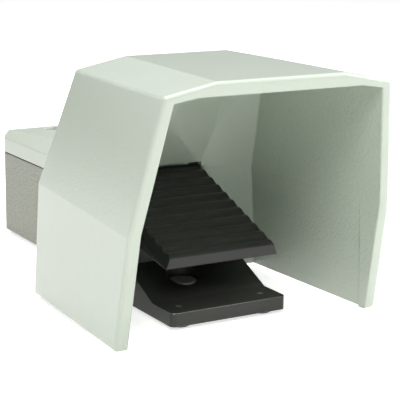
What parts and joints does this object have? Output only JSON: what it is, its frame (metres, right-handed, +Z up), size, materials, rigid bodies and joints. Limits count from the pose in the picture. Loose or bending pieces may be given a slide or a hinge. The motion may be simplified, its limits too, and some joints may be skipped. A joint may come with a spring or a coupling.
{
  "type": "foot switch",
  "caption": "Industrial foot switch: ribbed black tread pedal hinged on a cast base, under a wide faceted pale green hood, with a long covered switch housing behind.",
  "frame": {"origin": "Under the middle of the whole part, on the plane that the feet stand on.", "axes": "+Z is up, the hood opens and the foot comes in towards -Y, the housing and its cable entry point to +Y, and X = 0 is the plane of symmetry."},
  "size_m": [0.1632, 0.2902, 0.1407],
  "materials": {
    "hood_paint": "pale green gloss paint with a light orange peel",
    "cover_paint": "pale green gloss paint",
    "housing_grey": "grey cast metal with a fine grain, satin",
    "casting_black": "black paint on a casting, satin, rubbed bright along the front edge",
    "pedal_black": "black paint on a casting, satin",
    "foot_rubber": "black rubber, dull",
    "plug_grey": "dark grey moulded plastic, dull",
    "steel": "zinc-plated steel",
    "spring_steel": "drawn spring wire",
    "bronze": "sintered bronze",
    "contact_brass": "bare brass",
    "block_plastic": "dark moulded plastic",
    "plunger_plastic": "ivory moulded plastic"
  },
  "bodies": {
    "base": {"front_casting": "casting_black", "rubber_feet": "foot_rubber", "foot_screws": "steel", "fixing_plug": "plug_grey", "stop_edging": "foot_rubber", "pivot_bushes": "bronze", "return_spring": "spring_steel", "hood": "hood_paint", "hood_screws": "steel", "switch_housing": "housing_grey", "casting_screws": "steel", "cover_gasket": "foot_rubber", "top_cover": "cover_paint", "cover_screws": "steel", "rod_boot": "foot_rubber", "switch_block": "block_plastic", "block_lid": "block_plastic", "block_screws": "steel", "fixed_contacts": "contact_brass", "terminal_screws": "steel", "plunger_spring": "spring_steel", "earth_screw": "contact_brass"},
    "pedal": {"pedal": "pedal_black", "pivot_shaft": "steel", "shaft_clips": "spring_steel"},
    "plunger": {"push_rod": "steel", "switch_plunger": "plunger_plastic", "contact_bridge": "contact_brass"}
  },
  "joints": [
    {"name": "pedal_hinge", "type": "hinge", "parent": "base", "child": "pedal", "pos_m": [0, -0.01121, 0.05035], "axis": [1, 0, 0], "range_deg": [0, 8], "stiffness_Nm_per_rad": 6, "springref_deg": -11.46, "deforming": ["return_spring"]},
    {"name": "rod_slide", "type": "slide", "parent": "base", "child": "plunger", "axis": [0, 1, 0], "range_m": [0, 0.0028], "stiffness_N_per_m": 600, "springref_m": -0.005, "deforming": ["plunger_spring"]}
  ],
  "couplings": [
    {"joint": "rod_slide", "follows": "pedal_hinge", "m_per_rad": 0.020055}
  ]
}
